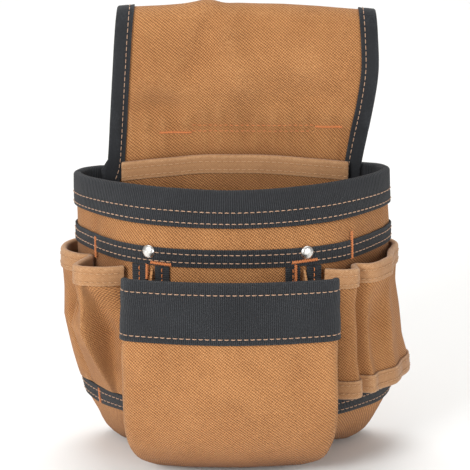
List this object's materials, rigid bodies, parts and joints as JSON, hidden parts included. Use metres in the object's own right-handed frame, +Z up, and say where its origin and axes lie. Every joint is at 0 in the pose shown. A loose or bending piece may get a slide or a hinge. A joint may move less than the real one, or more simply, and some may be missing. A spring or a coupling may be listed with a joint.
{
  "type": "nail and tool pouch",
  "caption": "Canvas carpenter's nail and tool pouch with a belt tunnel, a deep main bag, a front nail pocket, two side tool bays and two open tool sleeves",
  "frame": {"origin": "middle of the belt tunnel at the top, where a work belt passes through", "axes": "+Z up, +X to the right as seen from the front, -Y is the front of the pouch, +Y faces the wearer"},
  "size_m": [0.267, 0.1554, 0.3329],
  "materials": {
    "tan_canvas": "woven canvas",
    "tan_tape": "twill tape",
    "black_webbing": "ribbed webbing",
    "nickel": "polished nickel"
  },
  "bodies": {
    "root": {"back_panel": "tan_canvas", "back_binding_left": "black_webbing", "back_binding_right": "black_webbing", "pouch_front": "tan_canvas", "pouch_side_left": "tan_canvas", "pouch_side_right": "tan_canvas", "pouch_bottom": "tan_canvas", "rim_binding": "black_webbing", "band_upper": "black_webbing", "band_lower_left": "black_webbing", "band_lower_right": "black_webbing", "tape_left_outer": "black_webbing", "tape_left_inner": "black_webbing", "tape_right_inner": "black_webbing", "tape_right_outer": "black_webbing", "inner_pocket": "tan_canvas", "inner_pocket_binding": "tan_tape", "front_pocket": "tan_canvas", "front_pocket_binding": "black_webbing", "left_tool_pocket": "tan_canvas", "left_tool_pocket_top_binding": "tan_tape", "right_tool_sleeve": "tan_canvas", "right_tool_sleeve_top_binding": "tan_tape", "right_tool_sleeve_bottom_binding": "tan_tape", "rivet_left": "nickel", "rivet_right": "nickel"}
  },
  "joints": []
}
